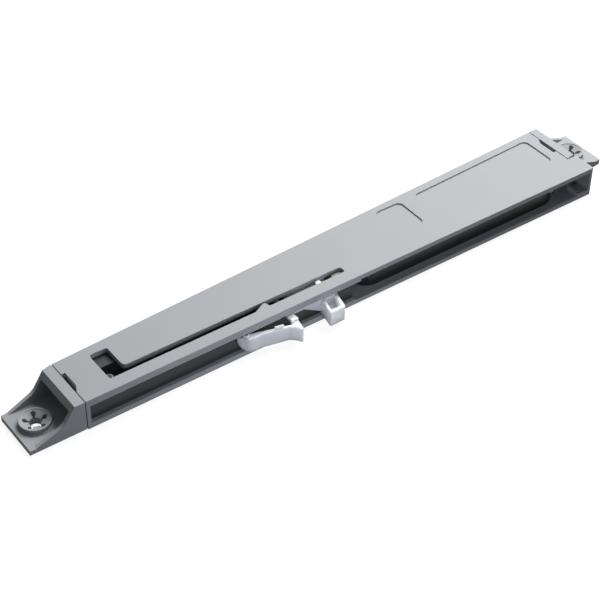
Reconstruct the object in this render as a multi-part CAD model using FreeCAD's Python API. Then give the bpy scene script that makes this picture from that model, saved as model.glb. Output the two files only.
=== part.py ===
import FreeCAD, Part
import math
import os

from FreeCAD import Vector

# Soft close damper for a drawer or a sliding door, of the kind that is screwed flat inside a cabinet.
# A grey moulded sleeve, open along its near side, is closed by two snap-in screw tabs.
# A carriage runs inside it. Its white catch block and its sprung lever stand out of the near side and
# hold the striker of the moving door between them. A tension spring pulls the carriage to the right, and
# a rod damper slows it. At the left end of its travel a peg drops into the wide leg of the top slot.
#
# All lengths are millimetres. While the pieces are built, x runs along the sleeve from its left seam,
# y runs inwards from its near side and z runs up from the mounting face. save() then moves the origin to
# the left screw hole on the mounting face.

# Sleeve
sleeve_length = 203.4
width_left = 20.1
width_right = 29.6
height = 11.2
top_wall = 1.7
floor_wall = 1.3
far_wall = 1.5
end_wall = 1.3
edge_round = 0.15
seam_gap = 0.35

# Near side of the sleeve: a framed window on the left, an open channel on the right
stile = 1.6
lip_depth = 1.2
lip_drop = 0.8
ledge_depth = 1.5
ledge_height = 1.95
lip_overrun = 2.1
window_overlap = 0.1
sill_bead = 0.2
sill_bead_width = 0.5

# Right-hand near corner, which runs on beside the end cap
corner_reach = 3.6
corner_wall = 1.2
stop_rib_gap = 4.6
stop_rib_width = 0.8
stop_rib_height = 2.4
stop_rib_depth = 5.0
corner_pad_height = 0.8
corner_round = 0.5

# End caps: one moulding, used twice
cap_strip = 3.35
cap_strip_taper = 0.75
cap_tab = 18.9
cap_tab_taper = 1.25
cap_floor = 2.0
cap_side_wall = 1.3
cap_foot_bevel = 0.4
cap_end_wall = 1.2
cap_brow_drop = 1.9
cap_brow_wall = 0.8
cap_root_round = 0.6
gusset_knee_out = 7.55
gusset_knee_drop = 5.75
gusset_knee_round = 5.0
gusset_toe_out = 16.8
gusset_toe_round = 1.5
plug_length = 5.5
plug_fit = 0.12
plug_side_fit = 0.5
plug_wall = 1.4
plug_near = 3.0
latch_from = 5.2
latch_to = 14.4
latch_depth = 1.6
latch_slant = 2.6
latch_slant_in = 1.3
latch_well = 0.3

# Screw boss on each cap
screw_hole_out = 12.0
screw_hole_in = 9.5
screw_hole_radius = 1.9
boss_radius = 4.95
boss_top = 3.7
boss_foot_radius = 5.5
boss_foot_height = 0.25
boss_rim = 0.5
boss_rim_drop = 0.15
dish_depth = 1.1
petal_count = 5
petal_root_height = 1.1
keyhole_place = 3.15
keyhole_radius = 0.8
keyhole_neck = 0.8

# Slot in the top and the parking leg at its left end
slot_near = 4.5
slot_far = 7.2
slot_overrun = 0.4
leg_left = 11.15
leg_width = 6.25
leg_far = 16.95
slot_corner = 0.8
leg_inner_corner = 1.5
tooth_left = 2.9
tooth_rise = 3.9
tooth_tip = 1.0
tooth_fall = 0.5
tooth_reach = 1.95
tooth_thickness = 0.7
tooth_round = 0.3

# Sunk fields on the top, left plain, placed from the right seam
field_depth = 0.5
long_field_margin = 3.0
long_field_end = 5.0
long_field_length = 53.0
long_field_near = 11.6
long_field_corner = 2.0
field_spacing = 6.1
square_field_length = 11.0
square_field_near = 10.0
square_field_margin = 2.4
square_field_corner = 2.0

# Fit of the moving peg in the slot, and gap between pieces that slide
peg_radius = 0.95
peg_play = 0.15
running_gap = 0.3
peg_below_tooth = 0.2
front_peg_drop = 1.3

# Guide rail
rail_front = 1.6
rail_wall = 1.2
rail_base = 0.65
rail_seat = 0.05
rail_below_lip = 1.9
rail_slit_start = 14.4
rail_channel = 9.3

# Parking guide under the leg, and its soft stop
guide_length = 34.0
guide_below_plate = 0.3
guide_wall = 1.0
guide_margin = 0.4
post_radius = 0.75
post_in = 7.8
post_gap = 2.1
post_below_guide = 0.3
buffer_wall = 0.5
buffer_below_guide = 0.6

# Carriage
carriage_length = 34.5
carriage_lead = 1.5
carriage_wall = 1.2
carriage_rib = 1.0
carriage_bays = 3
bridge_lag = 1.3
bridge_length = 5.5
tower_far = 9.2
seat_lag = 0.4
seat_play = 0.1
clip_gap = 0.3

# Lever bracket, in front of the rail
bracket_front = 0.7
bracket_back = 1.4
bracket_foot = 4.3
bracket_thickness = 0.8
bracket_below_lip = 0.2
bracket_stud_radius = 0.4
bracket_stud_length = 0.6
bracket_stud_play = 0.05
bracket_round = 0.4

# Lever, measured from its pin: along the sleeve, and outwards
pivot_lead = 9.6
pivot_in = 0.15
pivot_radius = 0.6
pivot_clearance = 0.06
pivot_eye = 1.15
pivot_blind = 0.8
pivot_end_play = 0.2
lever_lift = 0.15
lever_below_bracket = 0.2
lever_toe = 2.7
lever_back = 1.1
lever_front = 1.05
lever_front_lead = 0.7
lever_knee = 4.3
lever_knee_out = 1.83
lever_flare = 13.5
lever_flare_out = 3.9
lever_bend = 14.9
lever_bend_out = 4.95
lever_lip = 16.0
lever_lip_out = 6.4
lever_tip = 16.65
lever_tip_out = 6.95
lever_crest = 17.2
lever_crest_out = 6.6
lever_reach = 17.95
lever_heel_out = 2.75
lever_notch_side = 15.4
lever_notch_out = 2.1
lever_root_side = 15.1
lever_root_out = 3.3
lever_back_lead = 0.2
lever_nose_round = 4.4
lever_round = 0.35
lever_arm_width = 2.35
lever_arm_below_lip = 0.4
lever_arm_height = 1.2
lever_arm_inner = 3.4
lever_arm_inset = 0.1
lever_arm_bury = 0.1
lever_arm_round = 0.5
nub_lead = 9.3
nub_length = 2.8
nub_width = 0.6
nub_height = 1.0
nub_inset = 0.3
lever_swing_room = 5.9

# Lever spring
lever_spring_radius = 0.8
lever_spring_wire = 0.14
lever_spring_turns = 5
lever_spring_seat = 9.0
lever_spring_in = 1.25
spring_end_gap = 0.1

# Catch block
block_gap = 1.2
block_length = 7.8
block_front = 6.0
block_below_lip = 1.15
block_lean = 1.7
block_back = 1.35
block_round = 0.35
block_left_round = 0.5
block_right_round = 1.1
pocket_depth = 3.0
pocket_wall = 1.15
pocket_back_wall = 0.45
pocket_round = 0.4
tongue_lift = 0.4
tongue_thickness = 1.2
tongue_far = 9.2
bar_front = 0.6
bar_lead = 9.0
bar_plain = 3.9
bar_finger = 1.8
haunch_rise = 0.9
rear_peg_lead = 3.9

# Rod coupling
coupling_tail = 5.7
coupling_length = 5.0
coupling_width = 5.0
coupling_lift = 0.4
coupling_below_plate = 0.9
coupling_key_drop = 1.3
coupling_key_lag = 0.4
coupling_key_back = 0.85
coupling_play = 0.15
coupling_front = 1.0
coupling_key_round = 0.4

# Damper
rod_radius = 1.0
rod_clearance = 0.06
rod_head_radius = 1.6
rod_head_length = 1.2
rod_in = 7.3
rod_tail = 0.8
rod_seal_bite = 0.03
cylinder_headroom = 0.6
cylinder_wall = 0.6
cylinder_fit = 0.05
gland_length = 4.8
gland_flange = 0.8
seal_length = 2.2
piston_length = 5.0
piston_clearance = 0.08
piston_ring_width = 1.4
piston_ring_depth = 0.6
piston_ring_proud = 0.04
piston_home_gap = 2.6
foam_length = 4.2
end_plug_length = 3.6
cylinder_spare = 8.0

# Cradle that holds the damper
cradle_gap = 4.2
cradle_front = 3.1
cradle_wall = 1.05
cradle_nose = 4.5
cradle_tail = 2.4
cradle_end_gap = 3.3
cradle_below_plate = 0.15
cradle_nose_round = 7.0
cradle_back_round = 0.5
cradle_mouth = 2.6

# Closing spring
spring_in = 16.2
spring_mean_radius = 2.1
spring_wire = 0.35
spring_pitch = 4.0
wire_sides = 6
coil_steps = 8
spring_pin_radius = 0.9
spring_pin_play = 0.12
spring_arm_length = 4.5
spring_arm_gap = 0.15
spring_arm_below_plate = 0.7
spring_lug_cover = 0.5
anchor_back = 8.1
anchor_lug = 1.2
anchor_lug_length = 3.6
anchor_lug_cover = 1.2

# Home buffer
home_buffer_in = 9.2
home_buffer_width = 2.4
home_buffer_round = 0.6
home_buffer_lift = 0.7

# Heights that follow from the sizes above
plate_under = height - top_wall
lip_under = plate_under - lip_drop
rail_bottom = floor_wall + rail_seat
rail_floor = rail_bottom + rail_base
rail_top = lip_under - rail_below_lip
guide_top = plate_under - guide_below_plate
tongue_base = rail_top + tongue_lift
tongue_top = tongue_base + tongue_thickness
carriage_base = rail_floor + running_gap
carriage_top = tongue_base - running_gap
bracket_top = lip_under - bracket_below_lip
bracket_base = bracket_top - bracket_thickness
lever_base = ledge_height + lever_lift
lever_top = bracket_base - lever_below_bracket
lever_arm_top = lip_under - lever_arm_below_lip
lever_arm_base = lever_arm_top - lever_arm_height
block_base = lever_base
block_top = lip_under - block_below_lip
front_peg_top = height - front_peg_drop
rear_peg_top = height - tooth_thickness - peg_below_tooth
coupling_base = carriage_base + coupling_lift
coupling_top = plate_under - coupling_below_plate
cradle_top = plate_under - cradle_below_plate
cylinder_radius = (plate_under - floor_wall) / 2 - cylinder_headroom
rod_height = (plate_under + floor_wall) / 2
spring_reach = spring_mean_radius + spring_wire
spring_height = carriage_base + spring_reach
spring_arm_base = spring_height + spring_reach + spring_arm_gap
spring_arm_top = plate_under - spring_arm_below_plate
lever_spring_height = carriage_top + running_gap + lever_spring_radius + lever_spring_wire

# Places that follow from the sizes above
seam_right = sleeve_length - corner_reach
seam_end = seam_right - seam_gap
taper = (width_right - width_left) / sleeve_length
corner_depth = taper * seam_right - seam_gap
corner_inner_right = sleeve_length - end_wall
brow_low = height - cap_brow_drop
brow_out = cap_strip + cap_brow_drop * (gusset_knee_out - cap_strip) / gusset_knee_drop
gusset_knee_height = height - gusset_knee_drop
long_field_right = seam_right - long_field_end
long_field_left = long_field_right - long_field_length
square_field_right = long_field_left - field_spacing
square_field_left = square_field_right - square_field_length
guide_left = plug_length + rail_seat
guide_right = guide_left + guide_length
leg_right = leg_left + leg_width
slot_middle = (slot_near + slot_far) / 2
parked_peg = leg_right - peg_radius - peg_play
cradle_right = seam_right - plug_length - cradle_end_gap
cylinder_right = cradle_right - cradle_tail
piston_left = cylinder_right - end_plug_length - foam_length - piston_home_gap - piston_length

# The carriage and the damper share what the sleeve leaves, so the travel is half of it
travel = (piston_left - cylinder_spare - seal_length - gland_length - cradle_nose - cradle_gap
          - carriage_length + carriage_lead - parked_peg) / 2
front_peg = parked_peg + travel
pivot = Vector(front_peg - pivot_lead, pivot_in, 0)
carriage_left = front_peg - carriage_lead
carriage_right = carriage_left + carriage_length
coupling_left = carriage_right - coupling_tail
coupling_right = coupling_left + coupling_length
coupling_key_right = coupling_right - coupling_key_back
block_left = coupling_left - block_gap - block_length
rear_peg = block_left + rear_peg_lead
bridge_left = front_peg - bridge_lag
bridge_right = bridge_left + bridge_length
window_end = carriage_right - window_overlap
post_x = carriage_left - travel - post_gap
swing_right = bridge_right + lever_swing_room
pad_right = coupling_left - coupling_play - clip_gap
coupling_head = coupling_left + coupling_front
piston_middle = piston_left + piston_length / 2
piston_radius = cylinder_radius - cylinder_wall - piston_clearance
channel_near = rail_front + rail_wall
channel_far = channel_near + rail_channel
carriage_near = channel_near + running_gap
carriage_far = channel_far - running_gap
slot_end = coupling_key_right + slot_overrun
cradle_left = carriage_right + cradle_gap
cylinder_left = cradle_left + cradle_nose
anchor_x = seam_right - anchor_back
spring_hook_x = carriage_right - spring_arm_length / 2


def far_side(x):
    """Outer far edge of the sleeve at x."""
    return width_left + taper * x


def box(x0, x1, y0, y1, z0, z1):
    """Block between two corners."""
    return Part.makeBox(x1 - x0, y1 - y0, z1 - z0, Vector(x0, y0, z0))


def upright(x, y, radius, z0, z1):
    """Round post or hole along z."""
    return Part.makeCylinder(radius, z1 - z0, Vector(x, y, z0), Vector(0, 0, 1))


def lengthwise(x0, x1, y, z, radius):
    """Round bar or bore along x."""
    return Part.makeCylinder(radius, x1 - x0, Vector(x0, y, z), Vector(1, 0, 0))


def crosswise(x, y0, y1, z, radius):
    """Round bar or bore along y."""
    return Part.makeCylinder(radius, y1 - y0, Vector(x, y0, z), Vector(0, 1, 0))


def rounded_wire(corners, place):
    """Closed outline of (a, b) or (a, b, radius) corners. place turns a and b into a point."""
    points = [Vector(corner[0], corner[1], 0) for corner in corners]
    radii = [corner[2] if len(corner) > 2 else 0 for corner in corners]
    edges = []
    ends = []
    for index, point in enumerate(points):
        before = (points[index - 1] - point).normalize()
        after = (points[(index + 1) % len(points)] - point).normalize()
        if radii[index] == 0:
            ends.append((point, point, None))
            continue
        half = before.getAngle(after) / 2
        reach = radii[index] / math.tan(half)
        middle = (before + after).normalize() * (radii[index] / math.sin(half) - radii[index])
        ends.append((point + before * reach, point + after * reach, point + middle))
    for index, (arc_from, arc_to, arc_middle) in enumerate(ends):
        if arc_middle is not None:
            arc = Part.Arc(place(arc_from), place(arc_middle), place(arc_to))
            edges.append(arc.toShape())
        following = ends[(index + 1) % len(ends)][0]
        if (following - arc_to).Length > 1e-6:
            edges.append(Part.makeLine(place(arc_to), place(following)))
    return Part.Wire(edges)


def plan(corners, z0, z1):
    """Outline seen from above, raised from z0 to z1."""
    wire = rounded_wire(corners, lambda point: Vector(point.x, point.y, z0))
    return Part.Face(wire).extrude(Vector(0, 0, z1 - z0))


def side(corners, y0, y1):
    """Outline of (x, z) corners seen from the near side, run from y0 to y1."""
    wire = rounded_wire(corners, lambda point: Vector(point.x, y0, point.y))
    return Part.Face(wire).extrude(Vector(0, y1 - y0, 0))


def drawn(start, legs, z0, z1):
    """Outline from above made of legs: (x, y) ends a line, ((x, y), (x, y)) an arc's middle and end."""
    edges = []
    here = Vector(start[0], start[1], z0)
    for leg in legs:
        if isinstance(leg[0], tuple):
            middle, there = (Vector(x, y, z0) for x, y in leg)
            edges.append(Part.Arc(here, middle, there).toShape())
        else:
            there = Vector(leg[0], leg[1], z0)
            edges.append(Part.makeLine(here, there))
        here = there
    return Part.Face(Part.Wire(edges)).extrude(Vector(0, 0, z1 - z0))


def joined(first, *others):
    """One solid from pieces that touch or overlap."""
    return first.fuse(list(others)).removeSplitter()


def save(name, shape):
    """Write one piece, with the origin moved to the left screw hole."""
    moved = shape.copy()
    moved.translate(Vector(screw_hole_out, -screw_hole_in, 0))
    moved.exportStep(f"parts/{name}.step")
    print(f"{name:20s} volume {moved.Volume:9.2f}  solids {len(moved.Solids)}  valid {moved.isValid()}")


def across(corners, x0, x1):
    """Outline of (y, z) corners seen from the right end, run from x0 to x1."""
    wire = rounded_wire(corners, lambda point: Vector(x0, point.x, point.y))
    return Part.Face(wire).extrude(Vector(x1 - x0, 0, 0))


def sleeve_blank():
    """Tapered block with rounded top edges, stepped back beside the right end cap."""
    block = plan([(seam_gap, 0), (sleeve_length, 0, corner_round), (sleeve_length, corner_depth),
                  (seam_end, corner_depth), (seam_end, far_side(seam_end)), (seam_gap, far_side(seam_gap))],
                 0, height)
    rim = []
    for edge in block.Edges:
        middle = edge.CenterOfMass
        at_top = min(vertex.Point.z for vertex in edge.Vertexes) > height - edge_round
        at_seam = abs(middle.x - seam_gap) < seam_gap or abs(middle.x - seam_end) < seam_gap
        beside_cap = seam_end < middle.x < sleeve_length - corner_round and middle.y > corner_round
        if at_top and not at_seam and not beside_cap:
            rim.append(edge)
    return block.makeFillet(edge_round, rim)


def sleeve_hollow():
    """Inside of the sleeve, open at both ends and along the near side."""
    inner_corner = corner_depth - corner_wall
    past = corner_wall + 1
    return plan([(-1, -1), (corner_inner_right, -1), (corner_inner_right, inner_corner),
                 (seam_end, inner_corner), (seam_end + past, inner_corner + past),
                 (seam_end + past, far_side(seam_end + past) - far_wall), (-1, far_side(-1) - far_wall)],
                floor_wall, plate_under)


def slot_cutter():
    """Long guide slot with its wide parking leg."""
    below = plate_under - 1
    above = height + 1
    return plan([(leg_left, slot_near, slot_corner), (slot_end, slot_near, slot_corner),
                 (slot_end, slot_far, slot_corner), (leg_right, slot_far, leg_inner_corner),
                 (leg_right, leg_far, slot_corner), (leg_left, leg_far, slot_corner)], below, above)


def slot_tooth():
    """Pointer tooth on the near edge of the slot, in the upper part of the plate only."""
    left = front_peg - tooth_left
    tip_left = left + tooth_rise
    tip_right = tip_left + tooth_tip
    right = tip_right + tooth_fall
    tip = slot_near + tooth_reach
    root = slot_near - tooth_round
    return plan([(left, root), (left, slot_near), (tip_left, tip, tooth_round), (tip_right, tip, tooth_round),
                 (right, slot_near), (right, root)], height - tooth_thickness, height)


def latch_window():
    """Window beside the left seam for the latch of the cap, with one end slanted."""
    return plan([(-1, latch_from), (latch_depth - latch_slant_in, latch_from),
                 (latch_depth, latch_from + latch_slant), (latch_depth, latch_to), (-1, latch_to)],
                plate_under - 1, height + 1)


def to_right_end(shape):
    """Turn a left-hand shape half round and set it at the right seam."""
    turned = shape.copy()
    turned.rotate(Vector(0, 0, 0), Vector(0, 0, 1), 180)
    turned.translate(Vector(seam_right, far_side(seam_right), 0))
    return turned


def sunk_fields():
    """Two shallow fields in the top, a small square one and a long one along the far edge."""
    floor = height - field_depth
    square_far = far_side(square_field_left) - square_field_margin
    square = plan([(square_field_left, square_field_near, square_field_corner),
                   (square_field_right, square_field_near, square_field_corner),
                   (square_field_right, square_far, square_field_corner),
                   (square_field_left, square_far, square_field_corner)], floor, height + 1)
    long = plan([(long_field_left, long_field_near, long_field_corner),
                 (long_field_right, long_field_near, long_field_corner),
                 (long_field_right, far_side(long_field_right) - long_field_margin, long_field_corner),
                 (long_field_left, far_side(long_field_left) - long_field_margin, long_field_corner)],
                floor, height + 1)
    return [square, long]


def anchor_lugs():
    """Two lugs on the floor that hold the pin of the closing spring."""
    reach = spring_reach + running_gap
    left = anchor_x - anchor_lug_length / 2
    right = anchor_x + anchor_lug_length / 2
    top = spring_height + spring_pin_radius + anchor_lug_cover
    near = box(left, right, spring_in - reach - anchor_lug, spring_in - reach, floor_wall, top)
    far = box(left, right, spring_in + reach, spring_in + reach + anchor_lug, floor_wall, top)
    hole = crosswise(anchor_x, spring_in - reach - anchor_lug, spring_in + reach + anchor_lug,
                     spring_height, spring_pin_radius)
    return [near.cut(hole), far.cut(hole)]


def corner_floor():
    """Pad on the floor of the right-hand corner, with a rib that rises inwards beside it."""
    rib_right = corner_inner_right - stop_rib_gap
    pad_top = floor_wall + corner_pad_height
    pad = box(rib_right, corner_inner_right, 0, stop_rib_depth, floor_wall, pad_top)
    rib = across([(0, floor_wall), (stop_rib_depth, floor_wall),
                  (stop_rib_depth, floor_wall + stop_rib_height), (0, pad_top)],
                 rib_right - stop_rib_width, rib_right)
    return [pad, rib]


def make_sleeve():
    """Moulded sleeve."""
    shell = sleeve_blank().cut(sleeve_hollow())
    lip_end = window_end + lip_overrun
    post = box(seam_gap, stile, 0, ledge_depth, floor_wall, plate_under)
    lip = box(seam_gap, lip_end, 0, lip_depth, lip_under, plate_under)
    ledge = box(seam_gap, window_end, 0, ledge_depth, floor_wall, ledge_height)
    bead = box(window_end, corner_inner_right, 0, sill_bead_width, floor_wall, floor_wall + sill_bead)
    shell = joined(shell, post, lip, ledge, bead, *corner_floor(), *anchor_lugs())
    cutters = [slot_cutter(), latch_window(), to_right_end(latch_window())] + sunk_fields()
    for cutter in cutters:
        shell = shell.cut(cutter)
    return joined(shell, slot_tooth())


def cap_block():
    """Full block of a cap: side view with a steep upper part and a shallow toe, sides that taper outwards."""
    profile = side([(0, 0), (0, height), (-cap_strip, height),
                    (-gusset_knee_out, gusset_knee_height, gusset_knee_round),
                    (-gusset_toe_out, cap_floor, gusset_toe_round), (-cap_tab, cap_floor), (-cap_tab, 0)],
                   0, width_left)
    footprint = plan([(0, 0), (-cap_tab, 0), (-cap_tab, width_left - cap_tab_taper - cap_strip_taper),
                      (-cap_strip, width_left - cap_strip_taper), (0, width_left)], 0, height)
    past = cap_foot_bevel + 1
    bevel = across([(-1, -1), (past, -1), (-1, past)], -cap_tab - 1, 0)
    return profile.common(footprint).cut(bevel)


def cap_room():
    """Open space above the tab, between the cap's two walls and under its brow."""
    ceiling = brow_low - cap_brow_wall
    view = side([(-cap_end_wall, cap_floor, cap_root_round), (-cap_end_wall, ceiling),
                 (-brow_out + cap_brow_wall, ceiling), (-brow_out, brow_low),
                 (-brow_out - height, brow_low + height), (-cap_tab - 1, height), (-cap_tab - 1, cap_floor)],
                cap_side_wall, width_left)
    far_near_seam = width_left - cap_side_wall - cap_strip_taper
    footprint = plan([(0, 0), (-cap_tab - 1, 0), (-cap_tab - 1, far_near_seam - cap_tab_taper),
                      (-cap_strip, far_near_seam), (0, far_near_seam)], 0, height + 1)
    return view.common(footprint)


def screw_boss():
    """Raised ring whose dished middle is split into petals that grip the screw."""
    centre = Vector(-screw_hole_out, screw_hole_in, 0)
    dish_radius = boss_radius - boss_rim
    dish_top = boss_top - boss_rim_drop
    foot_top = cap_floor + boss_foot_height
    section = [(0, 0), (boss_foot_radius, 0), (boss_foot_radius, foot_top), (boss_radius, foot_top),
               (boss_radius, boss_top), (dish_radius, boss_top), (dish_radius, dish_top),
               (screw_hole_radius, dish_top - dish_depth), (screw_hole_radius, petal_root_height),
               (0, petal_root_height)]
    wire = Part.makePolygon([Vector(a, 0, b) for a, b in section + section[:1]])
    boss = Part.Face(wire).revolve(Vector(0, 0, 0), Vector(0, 0, 1), 360)
    for index in range(petal_count):
        head = upright(keyhole_place, 0, keyhole_radius, petal_root_height, boss_top + 1)
        neck = box(0, keyhole_place, -keyhole_neck / 2, keyhole_neck / 2, petal_root_height, boss_top + 1)
        keyhole = head.fuse(neck)
        keyhole.rotate(Vector(0, 0, 0), Vector(0, 0, 1), index * 360 / petal_count)
        boss = boss.cut(keyhole)
    boss.translate(centre)
    return boss


def cap_plug():
    """Hollow plug that enters the sleeve, with the latch opening in its top."""
    base = floor_wall + plug_fit
    top = plate_under - plug_fit
    far = width_left - far_wall - plug_side_fit
    outer = box(-cap_end_wall, plug_length, plug_near, far, base, top)
    inner = box(0, plug_length + 1, plug_near + plug_wall, far - plug_wall, base + plug_wall,
                top - plug_wall)
    opening = box(0, latch_depth + latch_well, latch_from - latch_well, latch_to + latch_well,
                  top - plug_wall - 1, top + 1)
    return outer.cut(inner).cut(opening)


def make_cap():
    """Left end cap: screw tab, walls, boss and plug in one moulding."""
    bore = upright(-screw_hole_out, screw_hole_in, screw_hole_radius, -1, petal_root_height)
    seat = upright(-screw_hole_out, screw_hole_in, boss_radius, -1, height)
    cap = cap_block().cut(cap_room()).cut(seat)
    cap = joined(cap, screw_boss(), cap_plug())
    return cap.cut(bore)


def make_guide_rail():
    """Channel the carriage runs in, with its low front wall, rear wall, parking guide and stop post."""
    ceiling = plate_under - rail_seat
    rear_far = channel_far + rail_wall
    guide_far = far_side(guide_left) - far_wall - guide_margin
    front = box(seam_gap, window_end, rail_front, channel_near, rail_bottom, rail_top)
    front_high = box(seam_gap, rail_slit_start, rail_front, channel_near, rail_top, ceiling)
    base = box(guide_left, window_end, rail_front, rear_far, rail_bottom, rail_floor)
    rear = box(guide_left, window_end, channel_far, rear_far, rail_bottom, rail_top)
    guide = box(guide_left, guide_right, channel_far, guide_far, rail_bottom, guide_top)
    room = box(guide_left + guide_wall, guide_right - guide_wall, rear_far, guide_far - guide_wall, 0,
               guide_top - guide_wall)
    post = upright(post_x, post_in, post_radius, rail_bottom, guide_top - post_below_guide)
    return joined(front, front_high, base, rear, guide.cut(room), post)


def make_park_buffer():
    """Soft sleeve on the stop post."""
    top = guide_top - buffer_below_guide
    outer = upright(post_x, post_in, post_radius + buffer_wall, rail_floor, top)
    return outer.cut(upright(post_x, post_in, post_radius, rail_floor, top))


def make_home_buffer():
    """Soft pad on the cradle that the carriage comes to rest against."""
    left = carriage_right + running_gap
    far = home_buffer_in + home_buffer_width
    return plan([(left, home_buffer_in, home_buffer_round), (cradle_left, home_buffer_in),
                 (cradle_left, far), (left, far, home_buffer_round)],
                carriage_base + home_buffer_lift, carriage_top - home_buffer_lift)


def carriage_body():
    """Hollow running block with cross ribs."""
    body = box(carriage_left, carriage_right, carriage_near, carriage_far, carriage_base, carriage_top)
    pitch = (coupling_left - carriage_wall - carriage_left - carriage_rib) / carriage_bays
    for index in range(carriage_bays):
        left = carriage_left + carriage_rib + index * pitch
        body = body.cut(box(left, left + pitch - carriage_rib, carriage_near + carriage_wall,
                            carriage_far - carriage_wall, 0, carriage_top - carriage_wall))
    return body


def coupling_socket():
    """Room for the rod coupling and the open slot for the rod."""
    half = coupling_width / 2 + coupling_play
    free = rod_radius + rod_clearance
    pocket = box(coupling_left - coupling_play, coupling_right + coupling_play,
                 rod_in - half, rod_in + half, coupling_base - coupling_play, height)
    slot = box(coupling_left, carriage_right + 1, rod_in - free, rod_in + free, rod_height, height)
    bore = lengthwise(coupling_left, carriage_right + 1, rod_in, rod_height, free)
    return [pocket, slot, bore]


def spring_arm():
    """Arm that reaches over the rail's rear wall and carries the hook pin of the closing spring."""
    left = carriage_right - spring_arm_length
    drop_near = channel_far + rail_wall + running_gap
    drop_far = spring_in - spring_mean_radius + spring_wire
    reach = spring_in + spring_mean_radius
    low = spring_height - spring_pin_radius - spring_lug_cover
    root = carriage_far - carriage_wall
    arm = box(left, carriage_right, root, reach, spring_arm_base, spring_arm_top)
    foot = box(left, carriage_right, root, carriage_far, carriage_top, spring_arm_top)
    drop = box(left, carriage_right, drop_near, drop_far, low, spring_arm_top)
    pin = crosswise(spring_hook_x, drop_near, reach, spring_height, spring_pin_radius)
    return [arm, foot, drop, pin]


def bracket_stud(spare):
    """Round stud under the lever bracket, or with some spare its hole in the carriage."""
    middle = (bridge_left + bridge_right) / 2
    place_in = (carriage_near + bracket_foot) / 2
    return upright(middle, place_in, bracket_stud_radius + spare,
                   bracket_base - bracket_stud_length - spare, bracket_base)


def make_carriage():
    """Carriage: running block, tower for the lever bracket, front peg, spring seat and spring arm."""
    tower = box(bridge_left, bridge_right, carriage_near, tower_far, carriage_top, bracket_base)
    peg = upright(front_peg, slot_middle, peg_radius, carriage_top, front_peg_top)
    spring_seat = box(bridge_right + seat_lag, swing_right, lever_spring_seat + seat_play, carriage_far,
                      carriage_top, lever_spring_height + lever_spring_radius)
    pad = box(swing_right, pad_right, carriage_near, carriage_far, carriage_top, tongue_base)
    clip = box(swing_right, pad_right, tongue_far + seat_play, carriage_far, tongue_base, spring_arm_top)
    body = joined(carriage_body(), tower, peg, spring_seat, pad, clip, *spring_arm())
    for cutter in coupling_socket() + [bracket_stud(bracket_stud_play)]:
        body = body.cut(cutter)
    return body


def make_lever_bracket():
    """White plate on the carriage that reaches over the rail, with the eye that holds the lever's pin."""
    bridge = plan([(bridge_left, bracket_front), (bridge_right, bracket_front, bracket_round),
                   (bridge_right, bracket_foot), (bridge_left, bracket_foot)], bracket_base, bracket_top)
    arm = box(pivot.x, bridge_left + bracket_round, bracket_front, bracket_back, bracket_base, bracket_top)
    eye = upright(pivot.x, pivot.y, pivot_eye, bracket_base, bracket_top)
    bore = upright(pivot.x, pivot.y, pivot_radius, bracket_base, bracket_top)
    return joined(bridge, arm, eye, bracket_stud(0)).cut(bore)


def lever_point(along, out):
    """Point of the lever's outline, from its distances along the sleeve and outwards from the pin."""
    return (pivot.x + along, pivot.y - out)


def lever_outline():
    """Ramp, nose and hook of the lever seen from above."""
    toe = lever_point(-lever_toe, -lever_back)
    legs = [(lever_point(-lever_front_lead, lever_front), lever_point(lever_knee, lever_knee_out)),
            lever_point(lever_flare, lever_flare_out),
            (lever_point(lever_bend, lever_bend_out), lever_point(lever_lip, lever_lip_out)),
            (lever_point(lever_tip, lever_tip_out), lever_point(lever_crest, lever_crest_out)),
            lever_point(lever_reach, lever_heel_out),
            lever_point(lever_notch_side, lever_notch_out),
            lever_point(lever_root_side, lever_root_out),
            lever_point(lever_back_lead, -lever_back),
            toe]
    return drawn(toe, legs, lever_base, lever_top)


def make_lever():
    """White lever that the striker rides over, with its hook and the arm its spring pushes on."""
    left = pivot.x - lever_toe
    right = pivot.x + lever_reach
    nose = side([(left, lever_base, lever_nose_round), (right, lever_base), (right, height), (left, height)],
                pivot.y - lever_tip_out - 1, pivot.y + lever_back + 1)
    ramp = lever_outline()
    rim = [edge for edge in ramp.Edges
           if min(vertex.Point.z for vertex in edge.Vertexes) > lever_top - lever_round
           and edge.CenterOfMass.y < pivot.y and edge.Length > lever_toe]
    ramp = ramp.makeFillet(lever_round, rim).common(nose)
    arm_right = right - lever_arm_inset
    arm_left = arm_right - lever_arm_width
    root = pivot.y - lever_heel_out - lever_arm_bury
    arm = plan([(arm_left, root), (arm_right, root), (arm_right, lever_arm_inner, lever_arm_round),
                (arm_left, lever_arm_inner, lever_arm_round)], lever_arm_base, lever_arm_top)
    slope = (lever_flare_out - lever_knee_out) / (lever_flare - lever_knee)
    nub_out = lever_knee_out + slope * (nub_lead - lever_knee) - nub_inset
    near_left = lever_point(nub_lead, nub_out)
    near_right = lever_point(nub_lead + nub_length, nub_out + slope * nub_length)
    nub = plan([near_left, near_right, (near_right[0], near_right[1] + nub_width),
                (near_left[0], near_left[1] + nub_width)], lever_top - nub_inset, lever_top + nub_height)
    hole = upright(pivot.x, pivot.y, pivot_radius + pivot_clearance, lever_base + pivot_blind, height)
    return joined(ramp, arm, nub).cut(hole)


def make_lever_pin():
    """Steel pin of the lever."""
    return upright(pivot.x, pivot.y, pivot_radius, lever_base + pivot_blind + pivot_end_play, bracket_top)


def wire_ring(centre, outward, along, wire):
    """Corners of the wire's section about a point of its path."""
    side_on = along.cross(outward).normalize()
    corners = []
    for step in range(wire_sides):
        angle = 2 * math.pi * step / wire_sides
        corners.append(centre + outward * (wire * math.cos(angle)) + side_on * (wire * math.sin(angle)))
    return corners


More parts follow.
